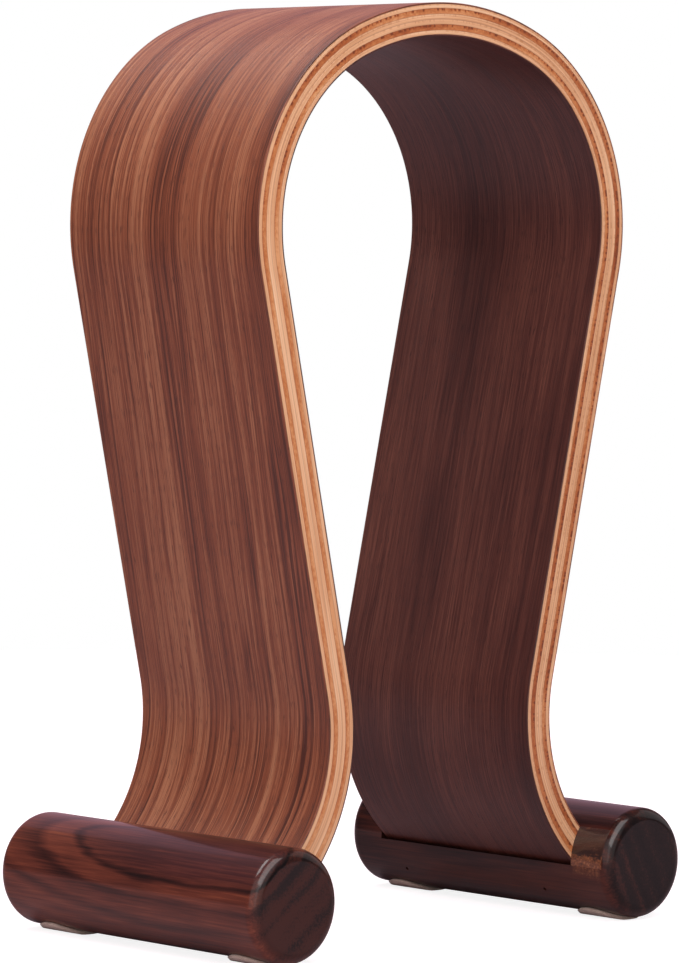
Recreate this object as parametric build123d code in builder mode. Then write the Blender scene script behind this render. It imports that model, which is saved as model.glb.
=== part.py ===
"""Headphone stand: one omega of moulded plywood, veneered in walnut, standing on two turned walnut feet.

Every lamination of the band is its own solid, laid between two offsets of the band's centreline.
The frame is +Z up and +X across the stand. The origin is on the table, midway between the feet.
"""

from build123d import *
from math import sin, sqrt
import os

# Band: centreline of half the omega, from the crown down to the right foot
overall_height = 275.0
band_depth = 81.5  # along Y
crown_radius = 90.5
crown_half_angle = 22.4  # degrees from the vertical where the flat crown meets the shoulder
shoulder_radius = 58.0
shoulder_end_angle = 102.5  # degrees from the vertical where the shoulder meets the leg
leg_length = 124.7
flare_radius = 55.5
flare_turn = 57.5  # degrees that the leg turns outwards on its way to the foot
tongue_length = 16.0  # straight end of the band, glued into the foot

# Layup, from the inside of the arch to the outside
veneer = 0.5
long_ply = 1.2
cross_ply = 1.7
core_ply = 1.5
layup = [
    ("inner_walnut_veneer", veneer),
    ("inner_long_ply", long_ply),
    ("inner_cross_ply", cross_ply),
    ("inner_core_ply", core_ply),
    ("outer_core_ply", core_ply),
    ("outer_cross_ply", cross_ply),
    ("outer_long_ply", long_ply),
    ("outer_walnut_veneer", veneer),
]
band_thickness = sum(thickness for _, thickness in layup)

# Feet: turned cylinders lying along Y
foot_radius = 16.7
foot_length = 112.0
foot_end_rounding = 3.6
foot_centre_x = 72.2

# Slot routed along each foot for the band's tongue
glue_gap = 0.05  # beside the band's outer face
slot_gap = 1.2  # beside the band's inner face, open to view
slot_end_gap = 0.5  # past the tongue's tip
slot_overcut = 0.8  # past the band's rear edge
slot_run_in = 12.5  # past the band's front edge, where the cutter came in; closed with wood filler

# Self-adhesive pads, wrapped on the underside of the feet and pressed flat where they stand
pad_radius = 10.0
pad_thickness = 1.2
pad_squash = 0.3
pad_offset_y = 41.3

# Brads driven through the lip of the slot into the tongue
brad_radius = 0.6
brad_length = 11.0
brad_point = 0.4
brad_depth_below_surface = 0.6
brad_along_tongue = 12.6
brad_places_y = {"front": -27.0, "rear": 33.0}
drill_margin = 2.0  # a drill starts and stops this far clear of the wood

# Worked-out places
foot_centre_z = foot_radius + pad_thickness - pad_squash
crown_top_z = overall_height - band_thickness / 2
slot_inner = -band_thickness / 2 - slot_gap
slot_outer = band_thickness / 2 + glue_gap
slot_bottom = tongue_length + slot_end_gap
slot_mouth = -foot_radius  # along the tongue, well outside the foot
from_base = (Align.CENTER, Align.CENTER, Align.MIN)


def band_run(offset):
    """Half of the band's centreline, moved outwards by offset, drawn from the crown to the tongue's tip."""
    crown = JernArc((0, crown_top_z + offset), (1, 0), crown_radius + offset, -crown_half_angle)
    turn = crown_half_angle - shoulder_end_angle
    shoulder = JernArc(crown @ 1, crown % 1, shoulder_radius + offset, turn)
    leg = Line(shoulder @ 1, shoulder @ 1 + leg_length * (shoulder % 1))
    flare = JernArc(leg @ 1, leg % 1, flare_radius - offset, flare_turn)
    return Line(flare @ 1, flare @ 1 + tongue_length * (flare % 1))


# The point and the plane where the flare ends and the straight tongue starts
with BuildLine() as centreline:
    tongue_line = band_run(0)
tongue_start = tongue_line @ 0
along_tongue = tongue_line % 0
across_tongue = Vector(-along_tongue.Y, along_tongue.X)  # towards the band's outer face


def tongue_point(along, across):
    """A point in the XZ plane, given along the tongue and across it towards the outer face."""
    point = tongue_start + along * along_tongue + across * across_tongue
    return (point.X, point.Y)


# The lip of the slot is this thick where the brads go through it
foot_centre = Vector(foot_centre_x, foot_centre_z)
centre_along = (foot_centre - tongue_start).dot(along_tongue)
centre_across = (foot_centre - tongue_start).dot(across_tongue)
brad_surface = centre_across - sqrt(foot_radius**2 - (centre_along - brad_along_tongue) ** 2)
brad_head = brad_surface + brad_depth_below_surface
brad_tip = brad_head + brad_length


def brad_plane(side, y, across):
    """A plane at right angles to a brad; side is 1 on the right and -1 on the left."""
    x, z = tongue_point(brad_along_tongue, across)
    return Plane(
        origin=(side * x, y, z),
        x_dir=(0, 1, 0),
        z_dir=(side * across_tongue.X, 0, across_tongue.Y),
    )


def drill_for_brads(side, first, last):
    """Cut the holes of one foot's brads from the across position first to the position last."""
    for y in brad_places_y.values():
        with Locations(brad_plane(side, y, first)):
            Cylinder(brad_radius, last - first, align=from_base, mode=Mode.SUBTRACT)


def foot_blank(side):
    """A foot as it comes off the lathe, before its slot is cut."""
    with BuildPart() as blank:
        with BuildSketch(Plane.XZ):
            with Locations((side * foot_centre_x, foot_centre_z)):
                Circle(foot_radius)
        extrude(amount=foot_length / 2, both=True)
        fillet(blank.faces().filter_by(Axis.Y).edges(), foot_end_rounding)
    return blank.part


def slot_corners(side):
    """The four corners of the slot's section in the XZ plane."""
    corners = [
        tongue_point(slot_mouth, slot_inner),
        tongue_point(slot_bottom, slot_inner),
        tongue_point(slot_bottom, slot_outer),
        tongue_point(slot_mouth, slot_outer),
    ]
    return [(side * x, z) for x, z in corners]


def write(piece, name):
    piece.part.label = name
    export_step(piece.part, f"parts/{name}.step")


os.makedirs("parts", exist_ok=True)

# Laminations of the band
inner = -band_thickness / 2
for name, thickness in layup:
    outer = inner + thickness
    with BuildPart() as ply:
        with BuildSketch(Plane.XZ):
            with BuildLine():
                outer_end = band_run(outer)
                inner_end = band_run(inner)
                Line(outer_end @ 1, inner_end @ 1)
                mirror(about=Plane.YZ)
            make_face()
        extrude(amount=band_depth / 2, both=True)
        if inner < brad_tip:
            for side in (1, -1):
                drill_for_brads(side, inner - drill_margin, min(outer + drill_margin, brad_tip))
    write(ply, name)
    inner = outer

# Feet, each with the filler that closes its slot in front of the band
slot_length = slot_overcut + band_depth + slot_run_in
for side_name, side in (("right", 1), ("left", -1)):
    blank = foot_blank(side)
    with BuildPart() as foot:
        add(blank)
        with BuildSketch(Plane.XZ.offset(-band_depth / 2 - slot_overcut)):
            Polygon(*slot_corners(side), align=None)
        extrude(amount=slot_length, mode=Mode.SUBTRACT)
        drill_for_brads(side, brad_surface - drill_margin, slot_inner + drill_margin)
    write(foot, f"{side_name}_foot")
    with BuildPart() as filler:
        add(blank)
        with BuildSketch(Plane.XZ.offset(band_depth / 2)):
            Polygon(*slot_corners(side), align=None)
        extrude(amount=slot_run_in, mode=Mode.INTERSECT)
    write(filler, f"{side_name}_slot_filler")

# Brads, two in each foot
for side_name, side in (("right", 1), ("left", -1)):
    for place, y in brad_places_y.items():
        with BuildPart() as brad:
            with BuildSketch(brad_plane(side, y, brad_head)):
                Circle(brad_radius)
            extrude(amount=brad_length)
            tip = brad.edges().sort_by(Axis.Z)[-1]
            chamfer(tip, brad_point)
        write(brad, f"{side_name}_{place}_brad")

# Pads, two under each foot
wrap_angle = pad_radius / foot_radius
pad_half_width = foot_radius * sin(wrap_angle)
above_table = (Align.CENTER, Align.MIN)
for side_name, side in (("right", 1), ("left", -1)):
    for place, end in (("front", -1), ("rear", 1)):
        with BuildPart() as pad:
            with BuildSketch(Plane.XZ.offset(-end * pad_offset_y)):
                with Locations((side * foot_centre_x, foot_centre_z)):
                    Circle(foot_radius + pad_thickness)
                    Circle(foot_radius, mode=Mode.SUBTRACT)
                with Locations((side * foot_centre_x, 0)):
                    Rectangle(2 * foot_radius, foot_radius, align=above_table, mode=Mode.INTERSECT)
            extrude(amount=pad_radius, both=True)
            with BuildSketch():
                with Locations((side * foot_centre_x, end * pad_offset_y)):
                    Ellipse(pad_half_width, pad_radius)
            extrude(amount=foot_centre_z, mode=Mode.INTERSECT)
        write(pad, f"{side_name}_{place}_pad")
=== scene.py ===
# %% [markdown]
# # A headphone stand of moulded plywood
# The stand is one omega of thin plies, glued over a former and veneered with walnut on both faces. It
# ends in two turned walnut feet. The engineering model is loaded first, and every piece below is made in
# its place, in metres, with +Z up and +X across the stand.

# %% Load the frame
import bmesh
import bpy
import math
from mathutils import Matrix, Quaternion, Vector, noise


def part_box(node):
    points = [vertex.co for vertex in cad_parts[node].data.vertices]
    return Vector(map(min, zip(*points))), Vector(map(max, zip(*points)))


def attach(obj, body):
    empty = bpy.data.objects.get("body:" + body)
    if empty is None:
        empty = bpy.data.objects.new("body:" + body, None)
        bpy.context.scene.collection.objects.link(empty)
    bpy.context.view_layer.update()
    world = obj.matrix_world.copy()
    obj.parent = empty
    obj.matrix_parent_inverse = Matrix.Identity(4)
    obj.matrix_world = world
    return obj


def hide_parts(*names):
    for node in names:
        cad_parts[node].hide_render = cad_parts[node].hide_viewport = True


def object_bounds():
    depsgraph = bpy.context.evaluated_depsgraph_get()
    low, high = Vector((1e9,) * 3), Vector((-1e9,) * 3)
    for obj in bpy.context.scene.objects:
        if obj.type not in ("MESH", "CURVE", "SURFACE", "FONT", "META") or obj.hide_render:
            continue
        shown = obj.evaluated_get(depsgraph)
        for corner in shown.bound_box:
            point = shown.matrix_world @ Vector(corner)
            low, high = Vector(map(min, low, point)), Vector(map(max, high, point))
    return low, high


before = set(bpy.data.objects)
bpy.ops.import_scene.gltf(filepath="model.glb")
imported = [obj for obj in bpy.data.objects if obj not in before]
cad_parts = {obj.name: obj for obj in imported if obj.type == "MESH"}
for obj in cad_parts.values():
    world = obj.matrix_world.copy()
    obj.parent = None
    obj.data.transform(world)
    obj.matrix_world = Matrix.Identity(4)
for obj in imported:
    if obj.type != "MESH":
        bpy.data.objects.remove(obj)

MM = 0.001
cad_low, cad_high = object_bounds()
print("nodes", len(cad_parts), "size in mm", [round(v / MM, 1) for v in cad_high - cad_low])

# %% [markdown]
# ## The camera
# A product photographer stands well back with a long lens, so that the two legs keep their true
# proportions. The camera is set by what such a person would say: how far round the object, how high, how
# far away, and what it aims at.

# %% Camera
camera_round = -43.65  # degrees, towards the left foot
camera_height = 3.24  # degrees above the horizon
camera_distance = 1463.7 * MM
camera_roll = 0.5  # degrees
lens_mm = 183.1
middle = (cad_low + cad_high) / 2
aim = middle + Vector((-3.7, 0, -4.3)) * MM  # a little left of the middle and below it

round_angle, height_angle = math.radians(camera_round), math.radians(camera_height)
towards_camera = Vector((
    math.sin(round_angle) * math.cos(height_angle),
    -math.cos(round_angle) * math.cos(height_angle),
    math.sin(height_angle),
))
camera_data = bpy.data.cameras.new("camera")
camera_data.lens = lens_mm
camera = bpy.data.objects.new("camera", camera_data)
camera.location = aim + camera_distance * towards_camera
camera.rotation_mode = "QUATERNION"
upright = (-towards_camera).to_track_quat("-Z", "Y")
camera.rotation_quaternion = upright @ Quaternion((0, 0, 1), math.radians(camera_roll))
bpy.context.scene.collection.objects.link(camera)
bpy.context.scene.camera = camera
print("camera at", [round(v, 3) for v in camera.location])

# %% [markdown]
# ## Colours and nodes
# Colours are written as they look on a screen, in sRGB hex, and one function turns them into the linear
# values that shaders work in. One more function adds a node: its settings, the stops of a colour ramp,
# and then its inputs, each either a link or a value.

# %% Colour and node helpers
def hex_colour(code):
    """Linear RGBA of a colour such as "#8A4F3A"."""
    channels = [int(code[i : i + 2], 16) / 255 for i in (1, 3, 5)]
    return [c / 12.92 if c <= 0.04045 else ((c + 0.055) / 1.055) ** 2.4 for c in channels] + [1.0]


def add_node(tree, kind, inputs=None, stops=(), **settings):
    """One node in tree. An input is a node or a socket to link from, or a plain value."""
    node = tree.nodes.new(kind)
    for name, value in settings.items():
        setattr(node, name, value)
    for i, (place, colour) in enumerate(stops):
        stop = node.color_ramp.elements[i] if i < 2 else node.color_ramp.elements.new(place)
        stop.position = place
        stop.color = colour
    for key, value in (inputs or {}).items():
        in_use = [socket for socket in node.inputs if socket.enabled]
        socket = node.inputs[key] if isinstance(key, int) else next(s for s in in_use if s.name == key)
        if isinstance(value, bpy.types.Node):
            value = next(output for output in value.outputs if output.enabled)
        if isinstance(value, bpy.types.NodeSocket):
            tree.links.new(value, socket)
        else:
            socket.default_value = value
    return node


def new_material(name):
    """An empty node material, and its tree."""
    material = bpy.data.materials.new(name)
    material.use_nodes = True
    material.node_tree.nodes.clear()
    return material, material.node_tree


def grey(value):
    return (value, value, value, 1.0)


print("walnut brown is", [round(c, 3) for c in hex_colour("#73412F")[:3]])

# %% [markdown]
# ## The studio
# The stand is shown on a plain white light table: opal acrylic lit from below, so that shadows nearly
# vanish and the table runs into the white behind it. The glow is given to the camera only, because it
# would wash out the undersides. A long softbox high at the front left models the crown, the edges and the
# feet, a strip behind it draws a thin line of light along the rims, and large dim scrims fill the sides.
# The one at the back has a pink gel. Around them the studio is dark, since polished walnut is only as
# deep a brown as the room that it mirrors is dark.

# %% Light table and room
table_radius = 900 * MM
glow_strength = 0.86
room_strength = 0.16
bpy.ops.mesh.primitive_circle_add(vertices=96, radius=table_radius, fill_type="NGON")
light_table = bpy.context.object
light_table.name = "light_table"
opal_acrylic, tree = new_material("opal_acrylic_lit_from_below")
seen_by_camera = add_node(tree, "ShaderNodeLightPath").outputs["Is Camera Ray"]
glow = add_node(tree, "ShaderNodeMath", {0: seen_by_camera, 1: glow_strength}, operation="MULTIPLY")
acrylic = {"Base Color": hex_colour("#B29CA3"), "Roughness": 0.7, "Specular IOR Level": 0.2}
acrylic |= {"Emission Color": hex_colour("#FFFFFF"), "Emission Strength": glow}
sheet_top = add_node(tree, "ShaderNodeBsdfPrincipled", acrylic)
add_node(tree, "ShaderNodeOutputMaterial", {"Surface": sheet_top})
light_table.data.materials.append(opal_acrylic)

world = bpy.data.worlds.new("studio")
bpy.context.scene.world = world
world.use_nodes = True
world.node_tree.nodes.clear()
tree = world.node_tree
dim_pink = {"Color": hex_colour("#ECD3DE"), "Strength": room_strength}
dark_room = add_node(tree, "ShaderNodeBackground", dim_pink)
white_behind = add_node(tree, "ShaderNodeBackground", {"Color": hex_colour("#FFFFFF"), "Strength": 1.0})
seen_by_camera = add_node(tree, "ShaderNodeLightPath").outputs["Is Camera Ray"]
room = add_node(tree, "ShaderNodeMixShader", {0: seen_by_camera, 1: dark_room, 2: white_behind})
add_node(tree, "ShaderNodeOutputWorld", {"Surface": room})
bpy.context.scene.view_settings.view_transform = "Standard"
print("table radius", table_radius, "m")


# %% Softboxes
def softbox(name, direction, distance, width, height, brightness, upright=(0, 0, 1), gel="#FFFFFF"):
    """A rectangular light facing the middle of the stand; brightness is what a mirror would show of it."""
    data = bpy.data.lights.new(name, "AREA")
    data.shape = "RECTANGLE"
    data.size = width
    data.size_y = height
    data.energy = brightness * math.pi * width * height
    data.color = hex_colour(gel)[:3]
    lamp = bpy.data.objects.new(name, data)
    away = Vector(direction).normalized()
    sideways = Vector(upright).cross(away).normalized()
    lamp.matrix_world = Matrix((sideways, away.cross(sideways), away)).transposed().to_4x4()
    lamp.location = middle + distance * away
    bpy.context.scene.collection.objects.link(lamp)


softbox("long_softbox", (-0.26, -0.59, 0.77), 1.25, 0.95, 1.35, 3.8, upright=(0.72, 0.27, 0.45))
softbox("rim_strip", (-0.26, 0.36, 0.90), 1.25, 0.42, 1.1, 6.0, upright=(0.9, 0.3, 0.2))
softbox("left_scrim", (-0.90, -0.40, 0.25), 1.6, 2.0, 2.0, 0.82)
softbox("front_scrim", (-0.30, -0.90, 0.35), 2.0, 2.4, 2.0, 0.6)
softbox("right_scrim", (0.85, -0.30, 0.40), 1.8, 1.5, 1.5, 0.5)
softbox("back_scrim", (0.50, 0.80, 0.38), 1.7, 1.6, 1.4, 0.5, gel="#EFB6D2")

# %% [markdown]
# ## The line that the plies follow
# The former for this band has arcs and straights only: a flat crown, two tight shoulders, straight legs
# that lean in, and a flare the other way into each foot. The line could be drawn by hand as a Bezier
# curve, but walking along it from the crown, turning at each arc by the former's radius, gives the true
# shape from a handful of sizes.

# %% Former: radii, turns and lengths
crown_radius, crown_turn = 90.5 * MM, 22.4
shoulder_radius, shoulder_turn = 58.0 * MM, 80.1
leg_length = 124.7 * MM
flare_radius, flare_turn = 55.5 * MM, -57.5  # outwards
tongue_length = 16.0 * MM
crown_top = 270.1 * MM
walking_step = 1.0 * MM


def walk_half_band():
    """Points from the crown's top to the right tongue's tip, about a millimetre apart."""
    x, z, heading = 0.0, crown_top, 0.0  # heading is how far the line has turned down from level
    points = [(x, z)]
    stretches = [
        (crown_radius * math.radians(crown_turn), crown_turn),
        (shoulder_radius * math.radians(shoulder_turn), shoulder_turn),
        (leg_length, 0.0),
        (flare_radius * math.radians(-flare_turn), flare_turn),
        (tongue_length, 0.0),
    ]
    for length, turn in stretches:
        steps = round(length / walking_step)
        bend = math.radians(turn) / steps
        chord = length / steps
        if turn:
            radius = length / math.radians(abs(turn))
            chord = 2 * radius * math.sin(abs(bend) / 2)
        for _ in range(steps):
            x += chord * math.cos(heading + bend / 2)
            z -= chord * math.sin(heading + bend / 2)
            heading += bend
            points.append((x, z))
    return points


half = walk_half_band()
whole = [(-x, z) for x, z in reversed(half[1:])] + half
band_line = bpy.data.curves.new("band_line", "CURVE")
band_line.dimensions = "3D"
spline = band_line.splines.new("POLY")
spline.points.add(len(whole) - 1)
spline.points.foreach_set("co", [c for x, z in whole for c in (x, 0.0, z, 1.0)])
print("points", len(whole), "tip at", [round(v / MM, 2) for v in half[-1]])

# %% [markdown]
# ## One tree that lays a ply
# Every ply is the same job: a thin rectangle carried along the line. A Geometry Nodes tree does it, with
# the ply's two faces, its depth and its material as inputs, so one tree lays all eight. It also writes
# down, at every point, where that point was on the flat sheet before bending: along the grain, across it,
# and through the thickness. The finishes read that, so the grain runs round the bend as real veneer does.

# %% Geometry Nodes tree
lay_ply = bpy.data.node_groups.new("lay_ply", "GeometryNodeTree")
for name, kind in (
    ("Line", "NodeSocketGeometry"),
    ("Inner face", "NodeSocketFloat"),
    ("Outer face", "NodeSocketFloat"),
    ("Depth", "NodeSocketFloat"),
    ("Finish", "NodeSocketMaterial"),
):
    lay_ply.interface.new_socket(name, in_out="INPUT", socket_type=kind)
lay_ply.interface.new_socket("Ply", in_out="OUTPUT", socket_type="NodeSocketGeometry")

# %% The ply's section, and what is noted on it
given = add_node(lay_ply, "NodeGroupInput").outputs
two_faces = {0: given["Outer face"], 1: given["Inner face"]}
thickness = add_node(lay_ply, "ShaderNodeMath", two_faces, operation="SUBTRACT")
faces_added = add_node(lay_ply, "ShaderNodeMath", two_faces, operation="ADD")
mid_ply = add_node(lay_ply, "ShaderNodeMath", {0: faces_added, 1: 0.5}, operation="MULTIPLY")
section_size = {"Width": given["Depth"], "Height": thickness}
rectangle = add_node(lay_ply, "GeometryNodeCurvePrimitiveQuadrilateral", section_size)
lift = add_node(lay_ply, "ShaderNodeCombineXYZ", {"Y": mid_ply})
section = add_node(lay_ply, "GeometryNodeTransform", {"Geometry": rectangle, "Translation": lift})

here = add_node(lay_ply, "ShaderNodeSeparateXYZ", {0: add_node(lay_ply, "GeometryNodeInputPosition")}).outputs
from_inner = {0: here["Y"], 1: given["Inner face"]}
above_inner = add_node(lay_ply, "ShaderNodeMath", from_inner, operation="SUBTRACT")
through = add_node(lay_ply, "ShaderNodeMath", {0: above_inner, 1: thickness}, operation="DIVIDE")
for name, value in (("across", here["X"]), ("out", here["Y"]), ("through", through)):
    noted = {"Geometry": section, "Name": name, "Value": value}
    section = add_node(lay_ply, "GeometryNodeStoreNamedAttribute", noted, data_type="FLOAT")
half_turn = (0, 0, math.pi)  # carried along the line, a section's +Y would point into the arch
section = add_node(lay_ply, "GeometryNodeTransform", {"Geometry": section, "Rotation": half_turn})
print("nodes in the section", len(lay_ply.nodes))

# %% The section carried along the line
walked = add_node(lay_ply, "GeometryNodeSplineParameter").outputs["Length"]
whole_length = add_node(lay_ply, "GeometryNodeSplineLength").outputs["Length"]
half_length = add_node(lay_ply, "ShaderNodeMath", {0: whole_length, 1: 0.5}, operation="MULTIPLY")
from_crown = add_node(lay_ply, "ShaderNodeMath", {0: walked, 1: half_length}, operation="SUBTRACT")
noted = {"Geometry": given["Line"], "Name": "along", "Value": from_crown}
line = add_node(lay_ply, "GeometryNodeStoreNamedAttribute", noted)
carried = {"Curve": line, "Profile Curve": section, "Fill Caps": True}
swept = add_node(lay_ply, "GeometryNodeCurveToMesh", carried)
flat_place = add_node(lay_ply, "ShaderNodeCombineXYZ", {
    axis: add_node(lay_ply, "GeometryNodeInputNamedAttribute", {"Name": name}, data_type="FLOAT")
    for axis, name in (("X", "along"), ("Y", "across"), ("Z", "out"))
})
noted = {"Geometry": swept, "Name": "sheet", "Value": flat_place}
marked = add_node(lay_ply, "GeometryNodeStoreNamedAttribute", noted, data_type="FLOAT_VECTOR")
smooth = add_node(lay_ply, "GeometryNodeSetShadeSmooth", {"Geometry": marked})
real = add_node(lay_ply, "GeometryNodeRealizeInstances", {"Geometry": smooth})
finished = add_node(lay_ply, "GeometryNodeSetMaterial", {"Geometry": real, "Material": given["Finish"]})
add_node(lay_ply, "NodeGroupOutput", {"Ply": finished})
print("nodes in the tree", len(lay_ply.nodes))

# %% [markdown]
# ## Reading the flat sheet in a finish
# The wood finishes of the band all start the same way: the place on the flat sheet in millimetres, so
# that every pattern's scale is a real size, and noise whose cells are stretched along the grain. Solid
# pieces use their own place in the stand instead. Patterns are then added up, each with its strength.

# %% Grain helpers
def flat_millimetres(tree):
    """The point's place on the flat sheet in millimetres: along the grain, across it, and out of the arch."""
    sheet = add_node(tree, "ShaderNodeAttribute", attribute_name="sheet").outputs["Vector"]
    return add_node(tree, "ShaderNodeVectorMath", {0: sheet, "Scale": 1000.0}, operation="SCALE")


def solid_millimetres(tree):
    """The point's place in the stand, in millimetres."""
    place = add_node(tree, "ShaderNodeTexCoord").outputs["Object"]
    return add_node(tree, "ShaderNodeVectorMath", {0: place, "Scale": 1000.0}, operation="SCALE")


def grain(tree, place, cell, seed, detail=3.0, roughness=0.55):
    """Noise about 0, whose cells measure cell, three sizes in millimetres."""
    away = (seed, 1.7 * seed, 2.3 * seed)  # each seed reads another part of the endless noise
    stretch = {"Vector": place, "Location": away, "Scale": [1 / size for size in cell]}
    stretched = add_node(tree, "ShaderNodeMapping", stretch)
    rough = {"Vector": stretched, "Scale": 1.0, "Detail": detail, "Roughness": roughness}
    cloudy = add_node(tree, "ShaderNodeTexNoise", rough)
    return add_node(tree, "ShaderNodeMath", {0: cloudy, 1: 0.5}, operation="SUBTRACT")


def add_up(tree, start, parts):
    """start plus each part times its strength."""
    for part, strength in parts:
        start = add_node(tree, "ShaderNodeMath", {0: part, 1: strength, 2: start}, operation="MULTIPLY_ADD")
    return start


def even_stops(codes):
    """Colour stops at even distances, the darkest first."""
    return [(i / (len(codes) - 1), hex_colour(code)) for i, code in enumerate(codes)]


# %% [markdown]
# ## Walnut veneer
# Quarter-sliced walnut shows long dark growth lines at uneven distances, paler bands between them, a slow
# drift of warm and purplish brown, and short open pores. Growth lines could come from one noise, but a
# veneer is recognised by where its broad strips lie, so those are listed, with their widths and how pale
# they are. Noise makes them wander and adds the fine lines and the fibre. A satin lacquer leaves a broad
# soft sheen and lets the pores show as fine dark ticks.

# %% Growth strips
band_depth = 81.5
thin_strip = 3.0  # a strip narrower than this, in millimetres, is a line
outer_strips = [  # from the front edge to the rear: each strip's width in millimetres, and how pale it is
    (4, 0.15), (5.5, 0.85), (2, 0.3), (3, 0.7), (2.5, 0.1), (16, 0.6), (2, 0.25), (4, 0.5), (5, 0.2),
    (10, 0.85), (2, 0.6), (6, 0.8), (2, 0.3), (3, 0.6), (8, 0.3), (4.5, 0.9), (2, 0.3),
]
inner_strips = [
    (3, 0.15), (3, 0.4), (3, 0.2), (10, 0.5), (4, 0.35), (18, 0.55), (14, 0.15), (10, 0.5), (16.5, 0.6),
]


def growth_stops(strips):
    """A wide strip is even between two stops, and a thin one has a single stop in its middle."""
    all_widths = sum(width for width, paleness in strips)
    stops = []
    start = 0.0
    for width, paleness in strips:
        shares = [0.5] if width < thin_strip else [0.25, 0.75]
        stops += [((start + share * width) / all_widths, grey(paleness)) for share in shares]
        start += width
    return stops


print("strips", len(outer_strips), "outside and", len(inner_strips), "inside")


# %% Walnut veneer finish
def walnut_veneer(name, strips, tones, contrast, drift, streak_length, streak_strength, seed):
    """Sliced walnut under satin lacquer; drift is how far the lines move across in a millimetre along."""
    material, tree = new_material(name)
    flat = flat_millimetres(tree)
    axes = add_node(tree, "ShaderNodeSeparateXYZ", {0: flat}).outputs
    wander = grain(tree, flat, (150, 22, 9), seed, 2.0)
    across = add_up(tree, axes["Y"], [(axes["X"], drift), (wander, 7.0)])
    straightened = add_node(tree, "ShaderNodeCombineXYZ", {"X": axes["X"], "Y": across, "Z": axes["Z"]})
    edges = {"Value": across, "From Min": -band_depth / 2, "From Max": band_depth / 2}
    from_front = add_node(tree, "ShaderNodeMapRange", edges)
    growth = add_node(tree, "ShaderNodeValToRGB", {"Fac": from_front}, growth_stops(strips))
    streaks = grain(tree, straightened, (streak_length, 1.1, 9), seed + 3, 4.0, 0.66)
    fibres = grain(tree, straightened, (24, 0.3, 9), seed + 5, 2.0)
    clouds = grain(tree, flat, (75, 26, 9), seed + 7, 2.0)
    hills = grain(tree, straightened, (320, 4.2, 9), seed + 9, 2.0)
    contours = add_node(tree, "ShaderNodeMath", {0: hills}, operation="ABSOLUTE")
    thin_lines = {"Value": contours, "From Min": 0.0, "From Max": 0.03, "To Min": 1.0, "To Max": 0.0}
    thin_lines = add_node(tree, "ShaderNodeMapRange", thin_lines)
    parts = [(growth, contrast), (streaks, streak_strength), (fibres, 1.4), (clouds, 0.6)]
    parts.append((thin_lines, -0.25 * streak_strength))
    tone = add_up(tree, 0.57 - contrast / 2, parts)
    brown = add_node(tree, "ShaderNodeValToRGB", {"Fac": tone}, even_stops(tones))
    pore_noise = grain(tree, straightened, (4.5, 0.26, 9), seed + 11, 1.0)
    pores = add_node(tree, "ShaderNodeMapRange", {"Value": pore_noise, "From Min": 0.10, "From Max": 0.17})
    pore_share = add_node(tree, "ShaderNodeMath", {0: pores, 1: 0.75}, operation="MULTIPLY")
    dark = hex_colour(tones[0])
    brown = add_node(tree, "ShaderNodeMix", {0: pore_share, "A": brown, "B": dark}, data_type="RGBA")
    relief = add_up(tree, 0.0, [(fibres, 0.4), (pores, -1.0)])
    bump = add_node(tree, "ShaderNodeBump", {"Height": relief, "Distance": 0.03 * MM, "Strength": 0.6})
    sheen = add_up(tree, 0.40, [(streaks, 0.2)])
    lacquered = {"Base Color": brown, "Roughness": sheen, "Normal": bump, "Specular IOR Level": 0.5}
    surface = add_node(tree, "ShaderNodeBsdfPrincipled", lacquered)
    add_node(tree, "ShaderNodeOutputMaterial", {"Surface": surface})
    return material


outer_veneer = walnut_veneer(
    "walnut_veneer_satin_lacquer", outer_strips, ["#4C251B", "#83462F", "#A66D4F"],
    contrast=0.55, drift=0.03, streak_length=190.0, streak_strength=1.6, seed=4.0,
)
# The inner face has its own strips, and its tones are darker than the outer face's: partly its own colour,
# partly painted shade for the inside of the arch, where the legs and crown hold back the softboxes.
inner_veneer_painted_shade = walnut_veneer(
    "walnut_veneer_inner_face_painted_shade", inner_strips, ["#331816", "#562D26", "#764538"],
    contrast=0.6, drift=-0.012, streak_length=40.0, streak_strength=0.6, seed=31.0,
)
print("veneer finishes", outer_veneer.name, inner_veneer_painted_shade.name)

# %% [markdown]
# ## The sanded edge of the plywood
# The band's edge shows its layup. Plies with the grain running along the band show pale side grain with
# faint lines. Plies turned across it show end grain: darker and more orange, because the open ends drink
# the lacquer, with short ticks through the thickness where rays and pores were cut. From the left
# shoulder on, over the crown and down to the right foot, both kinds are darker, and open pores show as
# dark dashes on their outer side. Thin glue lines part the plies. One finish each is enough, because the
# patterns read each ply's own place on the sheet.

# %% Birch finishes
def near_glue(tree, through, width):
    """1 on a ply's two glued faces, falling to 0 within that share of its thickness."""
    centred = add_node(tree, "ShaderNodeMath", {0: through, 1: 0.5}, operation="SUBTRACT")
    outwards = add_node(tree, "ShaderNodeMath", {0: centred}, operation="ABSOLUTE")
    return add_node(tree, "ShaderNodeMapRange", {"Value": outwards, "From Min": 0.5 - width, "From Max": 0.5})


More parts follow.
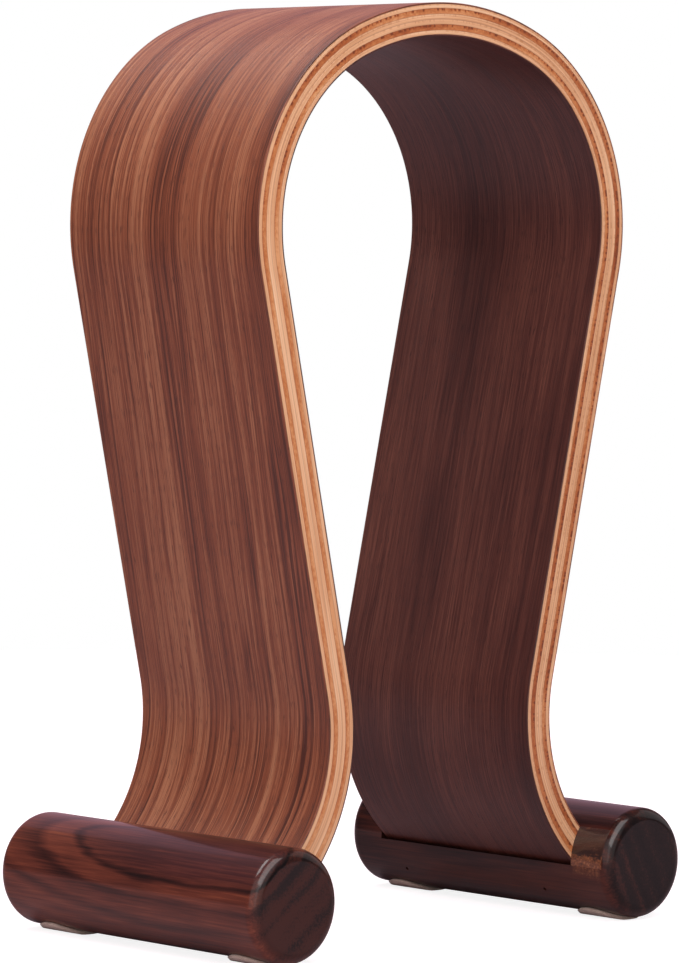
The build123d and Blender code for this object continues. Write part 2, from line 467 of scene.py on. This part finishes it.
def birch_edge(name, tones, layers, start, glue_tint, glue_share, towards_outside, past_crown):
    """The edge of a birch ply under clear lacquer. layers are noises: cell sizes in mm, and strength.

    towards_outside and past_crown are how much the tone changes from the ply's inner side to its outer one,
    and from the left half of the band to the right.
    """
    material, tree = new_material(name)
    flat = flat_millimetres(tree)
    through = add_node(tree, "ShaderNodeAttribute", attribute_name="through").outputs["Fac"]
    noises = [(grain(tree, flat, cell, 3.0 + 9 * i), strength) for i, (cell, strength) in enumerate(layers)]
    along = add_node(tree, "ShaderNodeSeparateXYZ", {0: flat}).outputs["X"]
    from_left_shoulder = {"Value": along, "From Min": -130.0, "From Max": -40.0}
    second_half = add_node(tree, "ShaderNodeMapRange", from_left_shoulder)
    tone = add_up(tree, start, noises + [(through, towards_outside), (second_half, past_crown)])
    open_pores = {"Value": grain(tree, flat, (1.1, 2, 4), 21.0, 2.0), "From Min": 0.02, "From Max": 0.12}
    open_pores = add_node(tree, "ShaderNodeMapRange", open_pores)
    outer_side = {"Value": through, "From Min": 0.45, "From Max": 0.75}
    outer_side = add_node(tree, "ShaderNodeMapRange", outer_side)
    for share in (outer_side, second_half):
        open_pores = add_node(tree, "ShaderNodeMath", {0: open_pores, 1: share}, operation="MULTIPLY")
    tone = add_up(tree, 0.0, [(tone, 1.0), (open_pores, 2.2 * past_crown)])
    colour = add_node(tree, "ShaderNodeValToRGB", {"Fac": tone}, even_stops(tones))
    glue_line = {0: near_glue(tree, through, 0.15), 1: glue_share}
    glue = add_node(tree, "ShaderNodeMath", glue_line, operation="MULTIPLY")
    glued = {0: glue, "A": colour, "B": hex_colour(glue_tint)}
    colour = add_node(tree, "ShaderNodeMix", glued, data_type="RGBA")
    bump = add_node(tree, "ShaderNodeBump", {"Height": noises[0][0], "Distance": 0.03 * MM})
    sanded = {"Base Color": colour, "Roughness": 0.42, "Normal": bump}
    sanded |= {"Coat Weight": 0.3, "Coat Roughness": 0.2}
    surface = add_node(tree, "ShaderNodeBsdfPrincipled", sanded)
    add_node(tree, "ShaderNodeOutputMaterial", {"Surface": surface})
    return material


side_grain = birch_edge(
    "birch_ply_side_grain", ["#BC8156", "#DBA77E", "#F0C9A3"],
    [((45, 3, 0.32), 1.5), ((38, 8, 3), 0.9)],
    start=0.54, glue_tint="#A87B5E", glue_share=0.55, towards_outside=0.0, past_crown=-0.12,
)
end_grain = birch_edge(
    "birch_ply_end_grain", ["#743515", "#9F5227", "#BD7442", "#D49868"],
    [((1.3, 2, 0.7), 0.8), ((26, 20, 6), 1.5)],
    start=0.90, glue_tint="#8A4A28", glue_share=0.4, towards_outside=-0.22, past_crown=-0.3,
)
print("edge finishes", side_grain.name, end_grain.name)

# %% [markdown]
# ## Laying the eight plies
# The layup is listed from the inside of the arch to its outside. Each ply is the line with the tree on it
# and a Bevel, because sanding eases every arris a little, most on the two faces that hands touch. The
# result is made a plain mesh at the origin and stands in for its engineering solid.

# %% Plies
layup = [  # piece, thickness in mm, arris in mm, finish, slot
    ("inner_walnut_veneer", 0.5, 0.22, inner_veneer_painted_shade, "walnut_veneer"),
    ("inner_long_ply", 1.2, 0.05, side_grain, "pale_ply"),
    ("inner_cross_ply", 1.7, 0.05, end_grain, "cross_ply"),
    ("inner_core_ply", 1.5, 0.05, side_grain, "pale_ply"),
    ("outer_core_ply", 1.5, 0.05, side_grain, "pale_ply"),
    ("outer_cross_ply", 1.7, 0.05, end_grain, "cross_ply"),
    ("outer_long_ply", 1.2, 0.05, side_grain, "pale_ply"),
    ("outer_walnut_veneer", 0.5, 0.22, outer_veneer, "walnut_veneer"),
]
band_thickness = sum(row[1] for row in layup) * MM
tree_inputs = {item.name: item.identifier for item in lay_ply.interface.items_tree if item.in_out == "INPUT"}


def plain_mesh(worked, name):
    """The evaluated object as a plain mesh object of that name, at the origin."""
    depsgraph = bpy.context.evaluated_depsgraph_get()
    depsgraph.update()
    mesh = bpy.data.meshes.new_from_object(worked.evaluated_get(depsgraph))
    made = bpy.data.objects.new(name, mesh)
    bpy.context.scene.collection.objects.link(made)
    bpy.data.objects.remove(worked)
    return made


inner_face = -band_thickness / 2
for node_name, thick, arris, finish, slot_name in layup:
    outer_face = inner_face + thick * MM
    working = bpy.data.objects.new("working", band_line)
    bpy.context.scene.collection.objects.link(working)
    laying = working.modifiers.new("lay", "NODES")
    laying.node_group = lay_ply
    for name, value in (
        ("Inner face", inner_face),
        ("Outer face", outer_face),
        ("Depth", band_depth * MM),
        ("Finish", finish),
    ):
        laying[tree_inputs[name]] = value
    ply = plain_mesh(working, node_name + "_laid")
    easing = ply.modifiers.new("arris", "BEVEL")
    easing.width = arris * MM
    easing.segments = 2
    easing.harden_normals = True
    ply = plain_mesh(ply, node_name + "_bent")
    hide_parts(node_name)
    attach(ply, "root")
    print(ply.name, len(ply.data.polygons), "faces")
    inner_face = outer_face

# %% [markdown]
# ## Turned walnut feet
# Each foot is a solid cylinder turned from walnut, and its engineering solid already has the right shape,
# so it stays and only gets its finish. Solid wood differs from veneer in one way: the figure goes right
# through. Growth layers are nearly flat sheets inside so small a piece. They cut the round side in long
# arches, and the same sheets cross the ends as straight streaks. Near a knot they dive, which closes the
# arches. So the finish works out how deep each point lies in the stack of layers, bends that with noise,
# and looks the depth up in a list of dark and light layers. A thick gloss lacquer over it mirrors the
# softboxes.
# Where the layers run out on the upper side, the colour is mixed towards a dull purple as a painted sheen.

# %% Places in the slot
tongue_corner = (56.95, 24.10)  # x and z in mm, where the band's line becomes the straight tongue
slot_gap, glue_gap = 1.2, 0.05  # mm, inside and outside the tongue
slot_lower_wall = -band_thickness / MM / 2 - slot_gap  # mm above the tongue's line, so below it
slot_upper_wall = band_thickness / MM / 2 + glue_gap
slope = math.sqrt(0.5)  # the tongue heads 45 degrees down
up_across_slot, down_tongue = (slope, slope), (slope, -slope)
rust_tones = ["#4A2415", "#7C472B", "#A86E46"]


def from_tongue(tree, place, heading):
    """How far place lies from the tongue's corner towards heading, in millimetres, in either foot."""
    axes = add_node(tree, "ShaderNodeSeparateXYZ", {0: place}).outputs
    outwards = add_node(tree, "ShaderNodeMath", {0: axes["X"]}, operation="ABSOLUTE")
    corner = heading[0] * tongue_corner[0] + heading[1] * tongue_corner[1]
    return add_up(tree, -corner, [(outwards, heading[0]), (axes["Z"], heading[1])])


def rusty_crumbs(tree, place):
    """The colour of crumbly brown filler."""
    tone = add_up(tree, 0.42, [(grain(tree, place, (0.7, 0.9, 0.7), 3.0, 3.0), 2.0)])
    return add_node(tree, "ShaderNodeValToRGB", {"Fac": tone}, even_stops(rust_tones))


def filler_smear(tree):
    """The share of filler smeared on the foot just below the slot's lower wall, and its colour."""
    place = solid_millimetres(tree)
    above = from_tongue(tree, place, up_across_slot)
    down = from_tongue(tree, place, down_tongue)
    ragged = add_up(tree, above, [(grain(tree, place, (2.4, 3.4, 2.4), 15.0, 4.0, 0.65), 5.0)])
    along = add_node(tree, "ShaderNodeSeparateXYZ", {0: place}).outputs["Y"]
    fade = {"To Min": 1.0, "To Max": 0.0}
    thickest = {"From Min": slot_lower_wall - 2.0, "From Max": slot_lower_wall - 0.6, "To Max": 0.6}
    limits = [
        {"Value": ragged} | thickest,
        {"Value": down, "From Min": 8.0, "From Max": 11.0} | fade,  # by the slot's mouth
        {"Value": along, "From Min": -42.0, "From Max": -41.0} | fade,  # in front of the band
        {"Value": along, "From Min": -53.0, "From Max": -51.5},  # behind the foot's rounded end
    ]
    below_wall = {0: above, 1: slot_lower_wall + 0.3}
    share = add_node(tree, "ShaderNodeMath", below_wall, operation="LESS_THAN")
    for limit in limits:
        within = add_node(tree, "ShaderNodeMapRange", limit)
        share = add_node(tree, "ShaderNodeMath", {0: share, 1: within}, operation="MULTIPLY")
    return share, rusty_crumbs(tree, place)


print("the slot's walls lie", round(slot_lower_wall, 2), "and", round(slot_upper_wall, 2), "mm from the line")


# %% Turned walnut finish
# A dull purple painted on the feet's upper side as a painted sheen, standing in for the lilac reflection on
# the lacquer.
painted_purple_sheen = hex_colour("#3E2028")
soaked_end = [(0.12, hex_colour("#060303")), (0.4, hex_colour("#170B09")), (0.62, hex_colour("#371811"))]


def turned_walnut(name, foot_node, heart_angle, dive_from, dive, layers, tones, seed):
    """Solid walnut under gloss lacquer. heart_angle is the way across the layers, in degrees up from +X.

    The layers dive behind dive_from, in mm along the foot. layers are depths in mm from the foot's middle,
    and how pale the wood is there.
    """
    material, tree = new_material(name)
    low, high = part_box(foot_node)
    in_stand = add_node(tree, "ShaderNodeTexCoord").outputs["Object"]
    from_middle = {0: in_stand, 1: tuple((low + high) / 2)}
    local = add_node(tree, "ShaderNodeVectorMath", from_middle, operation="SUBTRACT")
    place = add_node(tree, "ShaderNodeVectorMath", {0: local, "Scale": 1000.0}, operation="SCALE")
    axes = add_node(tree, "ShaderNodeSeparateXYZ", {0: place}).outputs
    angle = math.radians(heart_angle)
    past_knot = add_node(tree, "ShaderNodeMath", {0: axes["Y"], 1: dive_from}, operation="SUBTRACT")
    past_knot = add_node(tree, "ShaderNodeMath", {0: past_knot, 1: 0.0}, operation="MAXIMUM")
    past_knot = add_node(tree, "ShaderNodeMath", {0: past_knot, 1: 2.0}, operation="POWER")
    bend = grain(tree, place, (60, 110, 60), seed, 2.0)
    ripple = grain(tree, place, (7, 46, 7), seed + 2, 3.0)
    straight = [(axes["X"], math.cos(angle)), (axes["Z"], math.sin(angle))]
    depth = add_up(tree, 0.0, straight + [(past_knot, -dive), (bend, 4.0), (ripple, 3.4)])
    deepest, shallowest = layers[0][0], layers[-1][0]
    stack = {"Value": depth, "From Min": deepest, "From Max": shallowest}
    share = add_node(tree, "ShaderNodeMapRange", stack)
    stops = [((mm - deepest) / (shallowest - deepest), grey(paleness)) for mm, paleness in layers]
    figure = add_node(tree, "ShaderNodeValToRGB", {"Fac": share}, stops)
    fibres = grain(tree, place, (0.7, 26, 0.7), seed + 5, 3.0, 0.65)
    clouds = grain(tree, place, (22, 40, 22), seed + 8, 2.0)
    tone = add_up(tree, 0.02, [(figure, 0.95), (fibres, 0.9), (clouds, 0.6)])
    brown = add_node(tree, "ShaderNodeValToRGB", {"Fac": tone}, even_stops(tones))
    facing = add_node(tree, "ShaderNodeTexCoord").outputs["Normal"]
    facing_along = add_node(tree, "ShaderNodeSeparateXYZ", {0: facing}).outputs["Y"]
    on_end = add_node(tree, "ShaderNodeMath", {0: facing_along}, operation="ABSOLUTE")
    end_share = add_node(tree, "ShaderNodeMapRange", {"Value": on_end, "From Min": 0.5, "From Max": 0.98})
    end_brown = add_node(tree, "ShaderNodeValToRGB", {"Fac": tone}, soaked_end)
    brown = add_node(tree, "ShaderNodeMix", {0: end_share, "A": brown, "B": end_brown}, data_type="RGBA")
    # Painted sheen: the shallowest layers, on the foot's upper side, are mixed towards that purple.
    painted_sheen_depths = {"Value": depth, "From Min": shallowest - 8.0, "From Max": shallowest - 3.0, "To Max": 0.55}
    painted_sheen_share = add_node(tree, "ShaderNodeMapRange", painted_sheen_depths)
    brown = add_node(tree, "ShaderNodeMix", {0: painted_sheen_share, "A": brown, "B": painted_purple_sheen}, data_type="RGBA")
    smear, rusty = filler_smear(tree)
    brown = add_node(tree, "ShaderNodeMix", {0: smear, "A": brown, "B": rusty}, data_type="RGBA")
    bump = add_node(tree, "ShaderNodeBump", {"Height": fibres, "Distance": 0.02 * MM, "Strength": 0.5})
    lacquered = {
        "Base Color": brown, "Roughness": 0.4, "Normal": bump, "Specular IOR Level": 0.1,
        "Coat Weight": 0.6, "Coat Roughness": 0.11,
    }
    surface = add_node(tree, "ShaderNodeBsdfPrincipled", lacquered)
    add_node(tree, "ShaderNodeOutputMaterial", {"Surface": surface})
    return material


# %% The two feet
arch_depth = 13.6  # mm from the left foot's middle, where its darkest layer lies
left_layers = [  # mm past that layer, and how pale the wood is there
    (-38.0, 0.25), (-33.0, 0.45), (-29.5, 0.30), (-27.0, 0.60), (-24.0, 0.62), (-21.5, 0.42), (-19.0, 0.66),
    (-16.0, 0.55), (-13.5, 0.70), (-11.0, 0.40), (-9.0, 0.66), (-6.5, 0.50), (-4.3, 0.25), (-3.0, 0.62),
    (-0.8, 0.52), (0.0, 0.02), (0.7, 0.36), (4.0, 0.28), (8.0, 0.34),
]
left_finish = turned_walnut(
    "turned_walnut_gloss_lacquer_left", "left_foot", heart_angle=126.5, dive_from=-10.0, dive=0.0024,
    layers=[(mm + arch_depth, paleness) for mm, paleness in left_layers],
    tones=["#1A0B09", "#3E1B15", "#632F22", "#884831"], seed=11.0,
)
right_layers = [  # mm from the right foot's middle, and how pale the wood is there
    (-20.0, 0.30), (-16.5, 0.52), (-14.5, 0.25), (-12.0, 0.50), (-10.0, 0.20), (-7.0, 0.55), (-5.0, 0.18),
    (-2.0, 0.45), (1.0, 0.15), (4.0, 0.42), (8.0, 0.22), (13.0, 0.40), (26.0, 0.25),
]
right_finish = turned_walnut(
    "turned_walnut_gloss_lacquer_right", "right_foot", heart_angle=28.0, dive_from=12.0, dive=0.004,
    layers=right_layers, tones=["#130706", "#2F130F", "#522519", "#724028"], seed=47.0,
)


def finish_node(node_name, finish):
    """Give an engineering solid that stays in view its finish."""
    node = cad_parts[node_name]
    node.data.materials.clear()
    node.data.materials.append(finish)


finish_node("left_foot", left_finish)
finish_node("right_foot", right_finish)
print("feet finished with", left_finish.name, "and", right_finish.name)

# %% [markdown]
# ## The filled run-in of each slot
# The slot for the band was routed in from the foot's front end, so its first stretch stays open in front
# of the band. The maker packed it with brown filler, pared it flush and lacquered it with the foot. It is
# nearly as dark as the wood, with a rusty, crumbly seam along its lower wall, some of it smeared on the
# foot below, and a thin seam along the upper wall. The finish measures how far each point lies across the
# slot, so the two seams stay on the walls whatever the filler's shape.

# %% Wood filler finish
wood_filler, tree = new_material("brown_wood_filler_lacquered_over")
place = solid_millimetres(tree)
crumbs = grain(tree, place, (2.2, 4.5, 2.2), 6.0, 4.0, 0.65)
ragged = add_up(tree, from_tongue(tree, place, up_across_slot), [(crumbs, 11.0)])
lower = {"From Min": slot_lower_wall + 1.6, "From Max": slot_lower_wall + 3.0, "To Min": 1.0, "To Max": 0.0}
lower_seam = add_node(tree, "ShaderNodeMapRange", {"Value": ragged} | lower)
upper = {"From Min": slot_upper_wall + 0.2, "From Max": slot_upper_wall + 1.4, "To Max": 0.6}
upper_seam = add_node(tree, "ShaderNodeMapRange", {"Value": ragged} | upper)
seams = add_node(tree, "ShaderNodeMath", {0: lower_seam, 1: upper_seam}, operation="MAXIMUM")
smears = grain(tree, place, (3, 20, 3), 9.0, 3.0)
plug_tone = add_up(tree, 0.5, [(smears, 1.4)])
plug_tones = ["#1A0B09", "#2C1510", "#4A281B"]
plug_brown = add_node(tree, "ShaderNodeValToRGB", {"Fac": plug_tone}, even_stops(plug_tones))
rusty = rusty_crumbs(tree, place)
brown = add_node(tree, "ShaderNodeMix", {0: seams, "A": plug_brown, "B": rusty}, data_type="RGBA")
bump = add_node(tree, "ShaderNodeBump", {"Height": crumbs, "Distance": 0.5 * MM, "Strength": 0.7})
flush = {"Base Color": brown, "Roughness": 0.45, "Normal": bump, "Coat Weight": 0.8, "Coat Roughness": 0.15}
surface = add_node(tree, "ShaderNodeBsdfPrincipled", flush)
add_node(tree, "ShaderNodeOutputMaterial", {"Surface": surface})
for node_name in ("left_slot_filler", "right_slot_filler"):
    finish_node(node_name, wood_filler)
print("fillers finished with", wood_filler.name)

# %% [markdown]
# ## Brads
# Two brads pin each foot to the band from below, set a little under the surface. They are bright drawn
# wire: a plain metal with a slightly uneven polish.

# %% Steel wire finish
steel_wire, tree = new_material("drawn_steel_wire")
die_marks = grain(tree, solid_millimetres(tree), (0.2, 0.2, 0.2), 5.0)
polish = add_up(tree, 0.35, [(die_marks, 0.3)])
bright_wire = {"Base Color": hex_colour("#9A9895"), "Metallic": 1.0, "Roughness": polish}
surface = add_node(tree, "ShaderNodeBsdfPrincipled", bright_wire)
add_node(tree, "ShaderNodeOutputMaterial", {"Surface": surface})
brads = [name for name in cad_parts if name.endswith("_brad")]
for node_name in brads:
    finish_node(node_name, steel_wire)
print("brads", len(brads))

# %% [markdown]
# ## Felt pads
# Each pad is a disc of pressed felt, stuck on and bent up round the foot, and pressed flat where it
# stands. A disc could be cut from a thick sheet and bent with a modifier, but its shape is simple enough
# to write down: rings of points whose upper side follows the foot and whose underside stays off the
# table. The rim is rounded, as felt is when it is punched, and every point is moved a little, because
# felt is never quite even.

# %% Felt finish
wool_felt, tree = new_material("pressed_wool_felt")
place = solid_millimetres(tree)
hairs = grain(tree, place, (0.35, 0.35, 0.35), 2.0, 4.0, 0.7)
matted = grain(tree, place, (3, 3, 3), 7.0)
felt_tone = add_up(tree, 0.5, [(hairs, 0.9), (matted, 0.8)])
wool_tones = ["#A48A7C", "#D0B8AA", "#E6D6CB"]
wool_colour = add_node(tree, "ShaderNodeValToRGB", {"Fac": felt_tone}, even_stops(wool_tones))
bump = add_node(tree, "ShaderNodeBump", {"Height": hairs, "Distance": 0.2 * MM, "Strength": 0.8})
felted = {"Base Color": wool_colour, "Roughness": 0.95, "Normal": bump}
felted |= {"Sheen Weight": 0.3, "Specular IOR Level": 0.1}
surface = add_node(tree, "ShaderNodeBsdfPrincipled", felted)
add_node(tree, "ShaderNodeOutputMaterial", {"Surface": surface})
print("felt finish", wool_felt.name)


# %% A pad's points
foot_low, foot_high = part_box("right_foot")
foot_radius = (foot_high.x - foot_low.x) / 2
foot_axis = Vector(((foot_low.x + foot_high.x) / 2, 0, (foot_low.z + foot_high.z) / 2))
felt_thickness = 1.2 * MM
rim_start = 0.90  # the share of the pad's radius at which its rim starts to round off
ring_count, spoke_count = 14, 72


def pad_point(share, angle, half_across, half_along, upper):
    """A point of the pad about the foot's line; share goes from 0 at the middle to 1 at the rim."""
    across = half_across * share * math.sin(angle)
    along = half_along * share * math.cos(angle)
    under_foot = foot_axis.z - math.sqrt(foot_radius**2 - across**2)
    underside = max(0.0, foot_axis.z - math.sqrt((foot_radius + felt_thickness) ** 2 - across**2))
    half_thick = (under_foot - underside) / 2
    past_rim = max(0.0, (share - rim_start) / (1 - rim_start))
    rounding = math.sqrt(1 - past_rim**2)
    height = (under_foot + underside) / 2 + (half_thick * rounding if upper else -half_thick * rounding)
    return Vector((across, along, height))


print("felt", felt_thickness / MM, "mm thick, rings", ring_count, "spokes", spoke_count)


# %% A pad's mesh
unevenness, lump_size = 0.05 * MM, 2.5 * MM
pressed_flat = 0.1 * MM  # below this the pad lies on the table, and stays flat


def felt_disc(low, high):
    """A closed mesh of one pad inside its engineering solid's box."""
    centre = (low + high) / 2
    half_across, half_along = (high.x - low.x) / 2, (high.y - low.y) / 2
    felt = bmesh.new()

    def felt_vert(share, angle, upper):
        return felt.verts.new(pad_point(share, angle, half_across, half_along, upper))

    rings = [(i / ring_count, True) for i in range(1, ring_count + 1)]
    rings += [(i / ring_count, False) for i in range(ring_count - 1, 0, -1)]
    spokes = [math.tau * k / spoke_count for k in range(spoke_count)]
    loops = [[felt_vert(share, angle, upper) for angle in spokes] for share, upper in rings]
    top = felt_vert(0.0, 0.0, True)
    bottom = felt_vert(0.0, 0.0, False)
    for k in range(spoke_count):
        after = (k + 1) % spoke_count
        felt.faces.new((top, loops[0][k], loops[0][after]))
        felt.faces.new((bottom, loops[-1][after], loops[-1][k]))
        for inner_loop, outer_loop in zip(loops, loops[1:]):
            felt.faces.new((inner_loop[k], outer_loop[k], outer_loop[after], inner_loop[after]))
    for vert in felt.verts:
        lump = unevenness * noise.noise(vert.co / lump_size + centre / MM)
        if vert.co.z > pressed_flat:
            vert.co.z = max(0.0, vert.co.z + lump)
        vert.co += Vector((centre.x, centre.y, 0.0))
        vert.co = Vector([min(max(c, a), b) for c, a, b in zip(vert.co, low, high)])
    bmesh.ops.recalc_face_normals(felt, faces=felt.faces)
    mesh = bpy.data.meshes.new("felt_disc")
    felt.to_mesh(mesh)
    felt.free()
    mesh.shade_smooth()
    mesh.materials.append(wool_felt)
    return mesh


# %% The four pads
for node_name in [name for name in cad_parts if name.endswith("_pad")]:
    mesh = felt_disc(*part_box(node_name))
    mesh.name = node_name + "_felt"
    pad = bpy.data.objects.new(node_name + "_felt", mesh)
    bpy.context.scene.collection.objects.link(pad)
    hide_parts(node_name)
    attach(pad, "root")
    print(pad.name, len(mesh.polygons), "faces")
